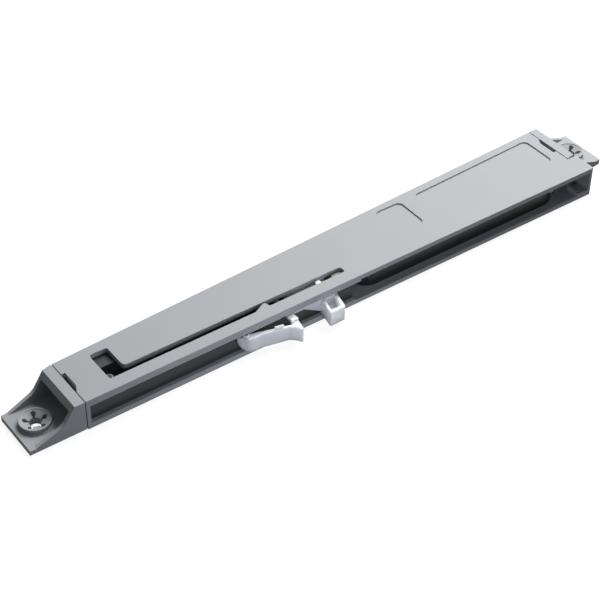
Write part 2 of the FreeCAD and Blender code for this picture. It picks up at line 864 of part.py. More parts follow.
def wire_solid(rings):
    """Closed solid of flat facets through a row of section rings."""
    faces = [Part.Face(Part.makePolygon(rings[0][::-1] + rings[0][-1:]))]
    for ring, following in zip(rings, rings[1:]):
        for index in range(wire_sides):
            beside = (index + 1) % wire_sides
            for corners in ((ring[index], ring[beside], following[beside]),
                            (ring[index], following[beside], following[index])):
                faces.append(Part.Face(Part.makePolygon([*corners, corners[0]])))
    faces.append(Part.Face(Part.makePolygon(rings[-1] + rings[-1][:1])))
    return Part.Solid(Part.Shell(faces))


def coil_path(radius, length, turns):
    """Centres, outward and forward directions along a coil about x that starts straight up."""
    path = []
    for step in range(turns * coil_steps + 1):
        angle = 2 * math.pi * step / coil_steps
        outward = Vector(0, math.sin(angle), math.cos(angle))
        along = Vector(length / turns / (2 * math.pi * radius), math.cos(angle), -math.sin(angle)).normalize()
        path.append((Vector(length * step / (turns * coil_steps), 0, 0) + outward * radius, outward, along))
    return path


def coil(radius, wire, length, turns):
    """Wire wound about x from the origin."""
    return wire_solid([wire_ring(*place, wire) for place in coil_path(radius, length, turns)])


def make_lever_spring():
    """Small compression spring behind the lever's arm."""
    start = lever_arm_inner + spring_end_gap + lever_spring_wire
    length = lever_spring_seat - lever_spring_wire - start
    wound = coil(lever_spring_radius, lever_spring_wire, length, lever_spring_turns)
    wound.rotate(Vector(0, 0, 0), Vector(0, 0, 1), 90)
    wound.translate(Vector(pivot.x + lever_reach - lever_spring_in, start, lever_spring_height))
    return wound


def block_outline(inset, back, rounds, z0, z1):
    """Leaning outline of the catch block, moved in by inset, with its two front corners rounded."""
    left = block_left + inset
    right = block_left + block_length - inset
    front = inset - block_front
    return plan([(left + block_lean, back), (left, front, rounds[0]), (right - block_lean, front, rounds[1]),
                 (right, back)], z0, z1)


def make_catch_block():
    """White block that the striker pushes, with its bar, its tongue over the rail and the guide peg."""
    block = block_outline(0, block_back, (block_left_round, block_right_round), block_base, block_top)
    rim = [edge for edge in block.Edges
           if min(vertex.Point.z for vertex in edge.Vertexes) > block_top - block_round
           and edge.CenterOfMass.y < block_back - block_round]
    block = block.makeFillet(block_round, rim)
    pocket = block_outline(pocket_wall, block_back - pocket_back_wall, (pocket_round, pocket_round),
                           block_top - pocket_depth, block_top + 1)
    right = block_left + block_length
    bar_left = front_peg + bar_lead
    web_left = bar_left + bar_plain
    web_low = block_base + haunch_rise
    web = side([(web_left, tongue_base), (block_left + block_lean, web_low), (right, web_low),
                (right, tongue_top), (web_left, tongue_top)], bar_front, block_back)
    web = web.cut(box(block_left + block_lean, right + 1, -1, block_back - pocket_back_wall / 2, block_top,
                      height))
    finger_left = bar_left + bar_finger
    tongue = plan([(bar_left, bar_front, block_round), (block_left + block_lean, bar_front),
                   (block_left + block_lean, block_back), (right, block_back),
                   (right, tongue_far, block_left_round), (finger_left, tongue_far, block_left_round),
                   (finger_left, block_back), (bar_left, block_back)], tongue_base, tongue_top)
    peg = upright(rear_peg, slot_middle, peg_radius, tongue_base, rear_peg_top)
    return joined(block.cut(pocket), web, tongue, peg)


def make_rod_coupling():
    """Natural coloured clip that holds the rod's head, with a key that runs in the slot."""
    half = coupling_width / 2
    key_left = coupling_left + coupling_key_lag
    key_near = slot_middle - peg_radius
    key_far = slot_middle + peg_radius
    body = box(coupling_left, coupling_right, rod_in - half, rod_in + half, coupling_base, coupling_top)
    key = plan([(key_left, key_near, coupling_key_round),
                (coupling_key_right, key_near, coupling_key_round),
                (coupling_key_right, key_far, coupling_key_round),
                (key_left, key_far, coupling_key_round)], coupling_top, height - coupling_key_drop)
    neck = lengthwise(coupling_head, coupling_right + 1, rod_in, rod_height, rod_radius)
    head = lengthwise(coupling_head, coupling_head + rod_head_length, rod_in, rod_height, rod_head_radius)
    return joined(body, key).cut(neck).cut(head)


def make_damper_rod():
    """Steel rod with a head in the coupling and a spigot through the piston."""
    head = lengthwise(coupling_head, coupling_head + rod_head_length, rod_in, rod_height, rod_head_radius)
    shaft = lengthwise(coupling_head, piston_left + piston_length + rod_tail, rod_in, rod_height, rod_radius)
    return joined(head, shaft)


def tube(x0, x1, outer, inner):
    """Ring or tube on the damper's axis."""
    return lengthwise(x0, x1, rod_in, rod_height, outer).cut(lengthwise(x0, x1, rod_in, rod_height, inner))


def make_piston():
    """Piston with a ring groove."""
    half = piston_ring_width / 2
    body = tube(piston_left, piston_left + piston_length, piston_radius, rod_radius)
    return body.cut(tube(piston_middle - half, piston_middle + half, cylinder_radius,
                         piston_radius - piston_ring_depth))


def make_piston_ring():
    """Sealing ring in the piston's groove."""
    half = piston_ring_width / 2
    return tube(piston_middle - half, piston_middle + half, piston_radius + piston_ring_proud,
                piston_radius - piston_ring_depth)


def make_cylinder():
    """Damper tube."""
    return tube(cylinder_left, cylinder_right, cylinder_radius, cylinder_radius - cylinder_wall)


def make_rod_guide():
    """Guide bush in the mouth of the tube."""
    inner = cylinder_radius - cylinder_wall
    flange = tube(cylinder_left - gland_flange, cylinder_left, cylinder_radius, rod_radius + rod_clearance)
    bush = tube(cylinder_left, cylinder_left + gland_length, inner, rod_radius + rod_clearance)
    return joined(flange, bush)


def make_rod_seal():
    """Soft seal behind the guide bush."""
    left = cylinder_left + gland_length
    return tube(left, left + seal_length, cylinder_radius - cylinder_wall,
                rod_radius + rod_clearance - rod_seal_bite)


def make_end_plug():
    """Plug that closes the tube."""
    left = cylinder_right - end_plug_length
    plug = lengthwise(left, cylinder_right, rod_in, rod_height, cylinder_radius - cylinder_wall)
    flange = lengthwise(cylinder_right, cylinder_right + gland_flange, rod_in, rod_height, cylinder_radius)
    return joined(plug, flange)


def make_foam():
    """Closed-cell foam that makes room for the rod's volume."""
    right = cylinder_right - end_plug_length
    return lengthwise(right - foam_length, right, rod_in, rod_height, cylinder_radius - cylinder_wall)


def make_cradle():
    """Cradle for the damper, rounded at its near corners and open along its top."""
    far = rod_in + cylinder_radius + cylinder_fit + cradle_wall
    left = cylinder_left - gland_flange
    right = cylinder_right + gland_flange
    free = rod_radius + running_gap
    block = plan([(cradle_left, cradle_front, cradle_nose_round),
                  (cradle_right, cradle_front, cradle_nose_round), (cradle_right, far, cradle_back_round),
                  (cradle_left, far, cradle_back_round)], rail_bottom, cradle_top)
    seat = lengthwise(left, right, rod_in, rod_height, cylinder_radius + cylinder_fit)
    mouth = box(left, right, rod_in - cradle_mouth, rod_in + cradle_mouth, rod_height, height)
    rod_way = lengthwise(cradle_left - 1, cylinder_left, rod_in, rod_height, free)
    rod_slot = box(cradle_left - 1, cylinder_left, rod_in - free, rod_in + free, rod_height, height)
    return block.cut(seat).cut(mouth).cut(rod_way).cut(rod_slot)


def half_loop(x, outwards):
    """Half ring of wire in the upright plane of the axis, from the top of the coil round to its bottom."""
    rings = []
    for step in range(coil_steps // 2 + 1):
        angle = 2 * math.pi * step / coil_steps
        outward = Vector(outwards * math.sin(angle), 0, math.cos(angle))
        along = Vector(outwards * math.cos(angle), 0, -math.sin(angle))
        rings.append(wire_ring(Vector(x, 0, 0) + outward * spring_mean_radius, outward, along, spring_wire))
    return wire_solid(rings)


def make_closing_spring():
    """Tension spring with a half loop at each end."""
    reach = spring_mean_radius - spring_wire - spring_pin_radius - spring_pin_play
    left = spring_hook_x + reach
    right = anchor_x - reach
    turns = round((right - left) / spring_pitch)
    wound = coil(spring_mean_radius, spring_wire, right - left, turns)
    wound.translate(Vector(left, 0, 0))
    spring = wound.fuse([half_loop(left, -1), half_loop(right, 1)])
    spring.translate(Vector(0, spring_in, spring_height))
    return spring


def make_anchor_pin():
    """Steel pin that holds the fixed end of the closing spring."""
    reach = spring_reach + running_gap + anchor_lug
    return crosswise(anchor_x, spring_in - reach, spring_in + reach, spring_height, spring_pin_radius)


def main():
    os.makedirs("parts", exist_ok=True)
    cap = make_cap()
    save("housing", make_sleeve())
    save("left_end_cap", cap)
    save("right_end_cap", to_right_end(cap))
    save("guide_rail", make_guide_rail())
    save("park_buffer", make_park_buffer())
    save("home_buffer", make_home_buffer())
    save("carriage", make_carriage())
    save("catch_block", make_catch_block())
    save("lever_bracket", make_lever_bracket())
    save("lever", make_lever())
    save("lever_pin", make_lever_pin())
    save("lever_spring", make_lever_spring())
    save("rod_coupling", make_rod_coupling())
    save("damper_rod", make_damper_rod())
    save("piston", make_piston())
    save("piston_ring", make_piston_ring())
    save("damper_tube", make_cylinder())
    save("rod_guide", make_rod_guide())
    save("rod_seal", make_rod_seal())
    save("end_plug", make_end_plug())
    save("expansion_foam", make_foam())
    save("damper_cradle", make_cradle())
    save("closing_spring", make_closing_spring())
    save("anchor_pin", make_anchor_pin())


main()
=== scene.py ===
"""Looks of the soft close damper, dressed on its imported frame."""

from __future__ import annotations

import logging
import math
from dataclasses import dataclass, field
from enum import Enum

import bpy
from mathutils import Matrix, Vector

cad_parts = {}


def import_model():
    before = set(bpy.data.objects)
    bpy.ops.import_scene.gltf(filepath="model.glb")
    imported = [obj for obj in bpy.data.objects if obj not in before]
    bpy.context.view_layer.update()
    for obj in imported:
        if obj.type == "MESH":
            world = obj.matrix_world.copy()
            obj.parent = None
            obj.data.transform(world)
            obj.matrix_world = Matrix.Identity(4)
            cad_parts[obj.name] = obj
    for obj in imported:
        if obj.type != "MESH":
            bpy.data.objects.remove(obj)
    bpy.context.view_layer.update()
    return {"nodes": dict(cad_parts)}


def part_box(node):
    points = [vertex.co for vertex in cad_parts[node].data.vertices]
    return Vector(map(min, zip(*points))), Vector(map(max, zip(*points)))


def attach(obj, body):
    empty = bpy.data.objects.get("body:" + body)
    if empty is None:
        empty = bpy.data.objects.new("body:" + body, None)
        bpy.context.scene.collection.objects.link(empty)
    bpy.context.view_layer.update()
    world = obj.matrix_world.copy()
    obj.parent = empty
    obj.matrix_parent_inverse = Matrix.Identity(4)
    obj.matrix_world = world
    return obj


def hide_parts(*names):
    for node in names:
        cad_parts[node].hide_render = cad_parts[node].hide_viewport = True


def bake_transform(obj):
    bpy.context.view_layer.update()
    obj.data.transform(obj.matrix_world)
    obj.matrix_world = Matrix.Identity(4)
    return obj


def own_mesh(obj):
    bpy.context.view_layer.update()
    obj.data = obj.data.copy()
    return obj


LOG = logging.getLogger("soft_close_damper")
WHITE = "#ffffff"
MM = 0.001

# How finely each noise is broken up.
CLOUD_NOISE = {"Detail": 3.0, "Roughness": 0.55}
GRAIN_NOISE = {"Detail": 2.0, "Roughness": 0.6}
MARK_NOISE = {"Detail": 3.0}

# Nearly all values of a noise lie between these two.
NOISE_LOW, NOISE_HIGH = 0.3, 0.7

# Red, green and blue light enter a white plastic equally deep.
EVEN_DEPTH = (1.0, 1.0, 1.0)

Place = tuple[float, float, float]
Nodes = dict[str, bpy.types.Object]
Names = tuple[str, ...]


class Body(Enum):
    """Bodies that the springs ride on."""

    BASE = "base"
    CARRIAGE = "carriage"


class Axis(Enum):
    """Direction that a spring is wound along, as the number of its coordinate."""

    ALONG = 0
    INWARDS = 1


class ToolSurface(Enum):
    """Surface that a mould leaves on a plastic: size of its grain and depth of its relief, in mm.

    Real spark-eroded grain is about 0.1 mm across. It is drawn coarser, so that it shows.
    """

    ERODED = (0.45, 0.012)
    POLISHED = (0.45, 0.006)
    CELLULAR = (0.6, 0.05)


class SteelSurface(Enum):
    """Way a steel was worked: scale of its marks along x, y and z. A small one draws them out.

    Real drawing and grinding marks are 0.02 to 0.05 mm apart. They are drawn coarser, so that
    they show.
    """

    GROUND = (1.0, 0.2, 0.2)
    DRAWN_TUBE = (0.05, 1.0, 1.0)
    DRAWN_WIRE = (1.0, 1.0, 1.0)


def linear(colour: str) -> tuple[float, float, float, float]:
    """Turn an sRGB hex colour into linear light.

    Args:
        colour: Six hex digits after a hash sign.

    Returns:
        Red, green, blue and an alpha of one.
    """
    channels = (int(colour[index:index + 2], 16) / 255 for index in (1, 3, 5))
    red, green, blue = (c / 12.92 if c <= 0.04045 else ((c + 0.055) / 1.055) ** 2.4
                        for c in channels)
    return red, green, blue, 1.0


def add_node(tree: bpy.types.NodeTree, kind: str, inputs: dict[str | int, object] | None = None,
             **settings: object) -> bpy.types.Node:
    """Add a node with its settings, its values and its links.

    Args:
        tree: Tree that the node goes into.
        kind: Blender's name for the node.
        inputs: Socket name or number to a value, or to the output socket that feeds it.
        **settings: Attributes of the node.

    Returns:
        The new node.
    """
    node = tree.nodes.new(kind)
    for name, value in settings.items():
        setattr(node, name, value)
    for name, value in (inputs or {}).items():
        socket = node.inputs[name]
        if isinstance(value, bpy.types.NodeSocket):
            tree.links.new(value, socket)
        else:
            socket.default_value = value
    return node


def mixed_colour(node: bpy.types.Node) -> bpy.types.NodeSocket:
    """Find the colour result of a Mix node, which also has hidden results of other types.

    Args:
        node: Mix node.

    Returns:
        Its colour result.
    """
    return next(socket for socket in node.outputs if socket.type == "RGBA")


def new_material(name: str) -> tuple[bpy.types.Material, bpy.types.NodeTree]:
    """Make a material with an empty node tree.

    Args:
        name: Name of the material.

    Returns:
        The material and its tree.
    """
    material = bpy.data.materials.new(name)
    material.use_nodes = True
    material.node_tree.nodes.clear()
    return material, material.node_tree


@dataclass(frozen=True)
class MouldedPlastic:
    """Injection-moulded plastic with the surface of its tool.

    Attributes:
        name: Name of the material.
        colour: Base colour as sRGB hex.
        shade: Darker tone of the slow cloudiness in the pigment, as sRGB hex.
        roughness: Mean roughness.
        surface: Surface that the tool gave it.
        ior: Index of refraction.
        specular: Strength of the surface reflection, where a half is the IOR's own.
        depth_mm: How deep light enters the plastic, zero for an opaque one.
        cloud_mm: Size of the slow cloudiness.
        speckle_ratio: Size of the fine speckle, as a multiple of the grain's.
        grain_swing: How far the roughness swings below and above its mean with the grain.
        relief: Strength of the grain's bump.
    """

    name: str
    colour: str
    shade: str
    roughness: float
    surface: ToolSurface = ToolSurface.POLISHED
    ior: float = 1.48
    specular: float = 0.5
    depth_mm: float = 0.0
    cloud_mm: float = 14.0
    speckle_ratio: float = 1.6
    grain_swing: tuple[float, float] = (0.05, 0.07)
    relief: float = 0.8

    def build(self) -> bpy.types.Material:
        """Make the material.

        Returns:
            A node material that reads object coordinates.
        """
        material, tree = new_material(self.name)
        grain_mm, grain_depth = self.surface.value
        speckle_mm = grain_mm * self.speckle_ratio
        place = add_node(tree, "ShaderNodeTexCoord").outputs["Object"]
        cloud = add_node(tree, "ShaderNodeTexNoise",
                         {"Vector": place, "Scale": 1 / (self.cloud_mm * MM),
                          **CLOUD_NOISE}).outputs["Fac"]
        grain = add_node(tree, "ShaderNodeTexNoise",
                         {"Vector": place, "Scale": 1 / (grain_mm * MM),
                          **GRAIN_NOISE}).outputs["Fac"]
        speckle = add_node(tree, "ShaderNodeTexVoronoi",
                           {"Vector": place, "Scale": 1 / (speckle_mm * MM)}).outputs["Distance"]
        blend = add_node(tree, "ShaderNodeMath", {0: cloud, 1: grain}, operation="MULTIPLY")
        tone = add_node(tree, "ShaderNodeMix",
                        {"Factor": blend.outputs[0], "A": linear(self.shade),
                         "B": linear(self.colour)}, data_type="RGBA")
        smoother, rougher = self.grain_swing
        rough = add_node(tree, "ShaderNodeMapRange",
                         {"Value": grain, "From Min": NOISE_LOW, "From Max": NOISE_HIGH,
                          "To Min": self.roughness - smoother, "To Max": self.roughness + rougher})
        height = add_node(tree, "ShaderNodeMath", {0: grain, 1: speckle}, operation="ADD")
        bump = add_node(tree, "ShaderNodeBump",
                        {"Height": height.outputs[0], "Distance": grain_depth * MM,
                         "Strength": self.relief})
        looks = {"Base Color": mixed_colour(tone), "Roughness": rough.outputs["Result"],
                 "IOR": self.ior, "Specular IOR Level": self.specular,
                 "Normal": bump.outputs["Normal"]}
        if self.depth_mm > 0:
            looks |= {"Subsurface Weight": 1.0, "Subsurface Radius": EVEN_DEPTH,
                      "Subsurface Scale": self.depth_mm * MM}
        shader = add_node(tree, "ShaderNodeBsdfPrincipled", looks)
        add_node(tree, "ShaderNodeOutputMaterial", {"Surface": shader.outputs["BSDF"]})
        return material


@dataclass(frozen=True)
class WorkedSteel:
    """Steel with the fine marks of the way it was made.

    Attributes:
        name: Name of the material.
        colour: Base colour as sRGB hex.
        roughness: Mean roughness.
        surface: Way it was worked.
        mark_mm: Spacing of its marks.
        mark_depth: Depth of its marks in mm.
        mark_swing: How far the roughness swings below and above its mean with the marks.
        relief: Strength of the marks' bump.
    """

    name: str
    colour: str
    roughness: float
    surface: SteelSurface
    mark_mm: float = 0.12
    mark_depth: float = 0.004
    mark_swing: tuple[float, float] = (0.06, 0.1)
    relief: float = 0.5

    def build(self) -> bpy.types.Material:
        """Make the material.

        Returns:
            A metallic node material that reads object coordinates.
        """
        material, tree = new_material(self.name)
        place = add_node(tree, "ShaderNodeTexCoord").outputs["Object"]
        worked = add_node(tree, "ShaderNodeMapping",
                          {"Vector": place, "Scale": self.surface.value})
        marks = add_node(tree, "ShaderNodeTexNoise",
                         {"Vector": worked.outputs[0], "Scale": 1 / (self.mark_mm * MM),
                          **MARK_NOISE}).outputs["Fac"]
        smoother, rougher = self.mark_swing
        rough = add_node(tree, "ShaderNodeMapRange",
                         {"Value": marks, "To Min": self.roughness - smoother,
                          "To Max": self.roughness + rougher})
        bump = add_node(tree, "ShaderNodeBump",
                        {"Height": marks, "Distance": self.mark_depth * MM,
                         "Strength": self.relief})
        shader = add_node(tree, "ShaderNodeBsdfPrincipled",
                          {"Base Color": linear(self.colour), "Metallic": 1.0,
                           "Roughness": rough.outputs["Result"],
                           "Normal": bump.outputs["Normal"]})
        add_node(tree, "ShaderNodeOutputMaterial", {"Surface": shader.outputs["BSDF"]})
        return material


Finish = MouldedPlastic | WorkedSteel


@dataclass
class Finishes:
    """Every finish of the part, each built on first use."""

    # ABS, moulded in a spark-eroded tool: an opaque, faintly grainy satin whose highlights
    # spread so wide that it looks nearly matt.
    shell: MouldedPlastic = MouldedPlastic("grey_abs_moulded", "#a9acae", "#a0a3a5", 0.52,
                                           ToolSurface.ERODED, specular=0.2)
    # Acetal, moulded in a smooth tool, dark olive: slippery, so its highlights are tighter.
    rail: MouldedPlastic = MouldedPlastic("olive_acetal_moulded", "#383c3b", "#303433", 0.38,
                                          specular=0.3)
    # Acetal filled with carbon black, moulded: near black, with a soft sheen along its edges.
    runner: MouldedPlastic = MouldedPlastic("black_acetal_moulded", "#1e2022", "#18191b", 0.36,
                                            specular=0.4)
    # White acetal without filler, moulded: it lets light in, so that shaded faces glow a little
    # and edges look soft.
    white: MouldedPlastic = MouldedPlastic("white_acetal_moulded", "#f6f7f9", "#eef0f3", 0.32,
                                           depth_mm=2.5)
    # Nylon without pigment, moulded, coloured a dull warm grey.
    natural: MouldedPlastic = MouldedPlastic("natural_nylon_moulded", "#858279", "#7a776d", 0.4)
    # Thermoplastic elastomer, moulded: too soft to shine, so it stays matt.
    buffer: MouldedPlastic = MouldedPlastic("grey_elastomer_moulded", "#86898a", "#7b7e7f", 0.6,
                                            ToolSurface.ERODED)
    # Nitrile rubber, pressed and trimmed: black with a dull grey bloom.
    seal: MouldedPlastic = MouldedPlastic("black_nitrile_pressed", "#161616", "#101010", 0.55,
                                          ToolSurface.ERODED)
    # Closed-cell foam, cut to length: the cells open at its cut faces swallow the light.
    foam: MouldedPlastic = MouldedPlastic("dark_closed_cell_foam", "#2b2c2e", "#1d1e20", 0.8,
                                          ToolSurface.CELLULAR)
    # Hardened steel, ground between wheels: bright, with fine marks that run round the rod.
    ground: WorkedSteel = WorkedSteel("ground_pin_steel", "#b8babc", 0.25, SteelSurface.GROUND)
    # Seamless steel tube, drawn through a die: long faint streaks.
    tube: WorkedSteel = WorkedSteel("drawn_tube_steel", "#aeb1b4", 0.3, SteelSurface.DRAWN_TUBE)
    # Spring steel wire, drawn and wound: darker than the pins and a little oily.
    wire: WorkedSteel = WorkedSteel("drawn_spring_wire", "#9b9ea1", 0.33,
                                    SteelSurface.DRAWN_WIRE)

    built: dict[str, bpy.types.Material] = field(default_factory=dict)

    def get(self, finish: Finish) -> bpy.types.Material:
        """Give a finish's material, making it on first use.

        Args:
            finish: One of this class's finishes.

        Returns:
            Its material.
        """
        if finish.name not in self.built:
            self.built[finish.name] = finish.build()
        return self.built[finish.name]

    def dress(self, nodes: Nodes, names: Names, finish: Finish) -> None:
        """Show one finish on some of the frame's nodes.

        Args:
            nodes: Objects of the frame by name.
            names: Nodes to dress.
            finish: Finish to show on every slot of them.
        """
        for name in names:
            for slot in nodes[name].material_slots:
                slot.material = self.get(finish)
            LOG.info("dressed %s in %s", name, finish.name)


@dataclass
class Shell:
    """Everything that is fixed to the cabinet: sleeve, caps, guide rail, buffers and anchor."""

    mouldings: Names = ("housing", "left_end_cap", "right_end_cap")
    rail: Names = ("guide_rail",)
    buffers: Names = ("park_buffer", "home_buffer")
    anchor: Names = ("anchor_pin",)

    def dress(self, nodes: Nodes, finishes: Finishes) -> None:
        """Dress the fixed pieces.

        Args:
            nodes: Objects of the frame by name.
            finishes: Finishes of the part.
        """
        finishes.dress(nodes, self.mouldings, finishes.shell)
        finishes.dress(nodes, self.rail, finishes.rail)
        finishes.dress(nodes, self.buffers, finishes.buffer)
        finishes.dress(nodes, self.anchor, finishes.ground)


@dataclass
class Runner:
    """Carriage with the white catch block and lever, and the coupling of the damper's rod."""

    body: Names = ("carriage",)
    catches: Names = ("catch_block", "lever_bracket", "lever")
    coupling: Names = ("rod_coupling",)
    pin: Names = ("lever_pin",)

    def dress(self, nodes: Nodes, finishes: Finishes) -> None:
        """Dress the pieces that run along the sleeve.

        Args:
            nodes: Objects of the frame by name.
            finishes: Finishes of the part.
        """
        finishes.dress(nodes, self.body, finishes.runner)
        finishes.dress(nodes, self.catches, finishes.white)
        finishes.dress(nodes, self.coupling, finishes.natural)
        finishes.dress(nodes, self.pin, finishes.ground)


@dataclass
class Damper:
    """Rod damper in its cradle."""

    mouldings: Names = ("damper_cradle", "piston", "end_plug")
    bush: Names = ("rod_guide",)
    tube: Names = ("damper_tube",)
    rod: Names = ("damper_rod",)
    seals: Names = ("piston_ring", "rod_seal")
    foam: Names = ("expansion_foam",)

    def dress(self, nodes: Nodes, finishes: Finishes) -> None:
        """Dress the damper, inside and out.

        Args:
            nodes: Objects of the frame by name.
            finishes: Finishes of the part.
        """
        finishes.dress(nodes, self.mouldings, finishes.runner)
        finishes.dress(nodes, self.bush, finishes.natural)
        finishes.dress(nodes, self.tube, finishes.tube)
        finishes.dress(nodes, self.rod, finishes.ground)
        finishes.dress(nodes, self.seals, finishes.seal)
        finishes.dress(nodes, self.foam, finishes.foam)


@dataclass(frozen=True)
class WoundSpring:
    """Coil spring of round wire, wound by Geometry Nodes. Sizes are in mm.

    Attributes:
        name: Name of the piece.
        stands_for: CAD node that it replaces and whose box it fills.
        along: Direction of the coil.
        wire: Radius of the wire.
        pitch: Distance between turns at rest.
        hooked: Whether each end is bent round into a half loop.
        turn_steps: Straight steps in one turn.
        wire_steps: Sides of the wire's section.
    """

    name: str
    stands_for: str
    along: Axis
    wire: float
    pitch: float
    hooked: bool
    turn_steps: int = 24
    wire_steps: int = 8

    def build(self, material: bpy.types.Material) -> bpy.types.Object:
        """Wind the spring into the box of its CAD node.

        Args:
            material: Finish of the wire.

        Returns:
            The spring as a plain mesh object.
        """
        low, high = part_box(self.stands_for)
        middle = (low + high) / 2
        across = high.z - low.z
        end_room = across / 2 if self.hooked else self.wire * MM
        length = (high - low)[self.along.value] - 2 * end_room
        sizes = {"Turns": float(round(length / (self.pitch * MM))),
                 "Coil Radius": across / 2 - self.wire * MM,
                 "Wire Radius": self.wire * MM, "Length": length}
        mesh = self.wind(self.tree(material), sizes)
        turn = Matrix.Rotation(math.radians(90 * self.along.value), 4, "Z")
        mesh.transform(Matrix.Translation(middle) @ turn)
        spring = bpy.data.objects.new(self.name, mesh)
        bpy.context.scene.collection.objects.link(spring)
        return spring

    def wind(self, tree: bpy.types.NodeTree, sizes: dict[str, float]) -> bpy.types.Mesh:
        """Run the winding tree once and keep its result as a plain mesh.

        Args:
            tree: Tree that winds the wire.
            sizes: Values of the tree's named inputs, in metres or turns.

        Returns:
            The wound wire, along x and centred on the origin.
        """
        carrier = bpy.data.objects.new(f"{self.name}_carrier",
                                       bpy.data.meshes.new(f"{self.name}_empty"))
        bpy.context.scene.collection.objects.link(carrier)
        modifier = carrier.modifiers.new("winding", "NODES")
        modifier.node_group = tree
        for item in tree.interface.items_tree:
            if item.item_type == "SOCKET" and item.in_out == "INPUT":
                modifier[item.identifier] = sizes[item.name]
        bpy.context.view_layer.update()
        graph = bpy.context.evaluated_depsgraph_get()
        mesh = bpy.data.meshes.new_from_object(carrier.evaluated_get(graph))
        carrier.modifiers.remove(modifier)
        bpy.data.objects.remove(carrier)
        return mesh

    def tree(self, material: bpy.types.Material) -> bpy.types.NodeTree:
        """Make the Geometry Nodes tree that winds the wire.

        Args:
            material: Finish of the wire.

        Returns:
            A tree with the sizes as inputs and the wound wire as its output.
        """
        tree = bpy.data.node_groups.new(f"{self.name}_winding", "GeometryNodeTree")
        tree.interface.new_socket("Geometry", in_out="OUTPUT", socket_type="NodeSocketGeometry")
        for size in ("Turns", "Coil Radius", "Wire Radius", "Length"):
            tree.interface.new_socket(size, in_out="INPUT", socket_type="NodeSocketFloat")
        sizes = add_node(tree, "NodeGroupInput").outputs
        half = add_node(tree, "ShaderNodeMath", {0: sizes["Length"], 1: 0.5},
                        operation="MULTIPLY").outputs[0]
        coil = add_node(tree, "GeometryNodeCurveSpiral",
                        {"Resolution": self.turn_steps, "Rotations": sizes["Turns"],
                         "Start Radius": sizes["Coil Radius"],
                         "End Radius": sizes["Coil Radius"], "Height": sizes["Length"]})
        start = add_node(tree, "ShaderNodeCombineXYZ", {"X": half})
        laid = add_node(tree, "GeometryNodeTransform",
                        {"Geometry": coil.outputs[0], "Translation": start.outputs[0],
                         "Rotation": (0.0, -math.pi / 2, 0.0)})
        join = add_node(tree, "GeometryNodeJoinGeometry")
        tree.links.new(laid.outputs[0], join.inputs[0])
        if self.hooked:
            for side in (-1.0, 1.0):
                loop = add_node(tree, "GeometryNodeCurveArc",
                                {"Resolution": self.turn_steps, "Radius": sizes["Coil Radius"],
                                 "Start Angle": -side * math.pi / 2, "Sweep Angle": math.pi},
                                mode="RADIUS")
                end = add_node(tree, "ShaderNodeMath", {0: half, 1: side}, operation="MULTIPLY")
                place = add_node(tree, "ShaderNodeCombineXYZ", {"X": end.outputs[0]})
                stood = add_node(tree, "GeometryNodeTransform",
                                 {"Geometry": loop.outputs[0], "Translation": place.outputs[0],
                                  "Rotation": (math.pi / 2, 0.0, 0.0)})
                tree.links.new(stood.outputs[0], join.inputs[0])
        section = add_node(tree, "GeometryNodeCurvePrimitiveCircle",
                           {"Resolution": self.wire_steps, "Radius": sizes["Wire Radius"]})
        wire = add_node(tree, "GeometryNodeCurveToMesh",
                        {"Curve": join.outputs[0], "Profile Curve": section.outputs[0],
                         "Fill Caps": True})
        smooth = add_node(tree, "GeometryNodeSetShadeSmooth", {0: wire.outputs[0]})
        real = add_node(tree, "GeometryNodeRealizeInstances", {0: smooth.outputs[0]})
        dressed = add_node(tree, "GeometryNodeSetMaterial",
                           {"Geometry": real.outputs[0], "Material": material})
        add_node(tree, "NodeGroupOutput", {"Geometry": dressed.outputs[0]})
        return tree


@dataclass
class Springs:
    """The two springs.

    Attributes:
        closing: Tension spring that pulls the carriage home.
        lever: Compression spring that pushes the lever out.
        pressed_keep: Share of its length that the lever's spring would keep when folded in; not
            used.
    """

    closing: WoundSpring = WoundSpring("closing_spring_wound", "closing_spring", Axis.ALONG,
                                       wire=0.35, pitch=1.25, hooked=True)
    lever: WoundSpring = WoundSpring("lever_spring_wound", "lever_spring", Axis.INWARDS,
                                     wire=0.14, pitch=0.75, hooked=False)
    pressed_keep: float = 0.36

    def build(self, material: bpy.types.Material) -> None:
        """Wind both springs and hang the lever's spring on the carriage.

        Args:
            material: Finish of the wire.
        """
        self.build_closing(material)
        self.build_lever(material)

    def build_closing(self, material: bpy.types.Material) -> None:
        """Wind the closing spring, which stretches between the carriage and the sleeve.

        Args:
            material: Finish of the wire.
        """
        spring = self.closing.build(material)
        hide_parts(self.closing.stands_for)
        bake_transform(spring)
        LOG.info("wound %s", spring.name)

    def build_lever(self, material: bpy.types.Material) -> None:
        """Wind the lever's spring, which the lever presses against the carriage.

        Args:
            material: Finish of the wire.
        """
        spring = self.lever.build(material)
        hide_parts(self.lever.stands_for)
        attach(spring, Body.CARRIAGE.value)
        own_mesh(spring)
        LOG.info("wound %s", spring.name)


@dataclass(frozen=True)
class SoftLamp:
    """Square soft lamp that looks at the part's middle. Lengths are in mm.

    Attributes:
        name: Name of the lamp.
        place: Where it hangs.
        size: Length of its side.
        power: Its power in watts.
        colour: Its colour as sRGB hex.
        aim: Point that it looks at.
    """

    name: str
    place: Place
    size: float
    power: float
    colour: str
    aim: Place = (105.0, 0.0, 0.0)

    def hang(self) -> None:
        """Add the lamp to the scene."""
        data = bpy.data.lights.new(self.name, "AREA")
        data.size = self.size * MM
        data.energy = self.power
        data.color = linear(self.colour)[:3]
        lamp = bpy.data.objects.new(self.name, data)
        bpy.context.scene.collection.objects.link(lamp)
        place = Vector(self.place) * MM
        lamp.location = place
        way = Vector(self.aim) * MM - place
        lamp.rotation_euler = way.to_track_quat("-Z", "Y").to_euler()


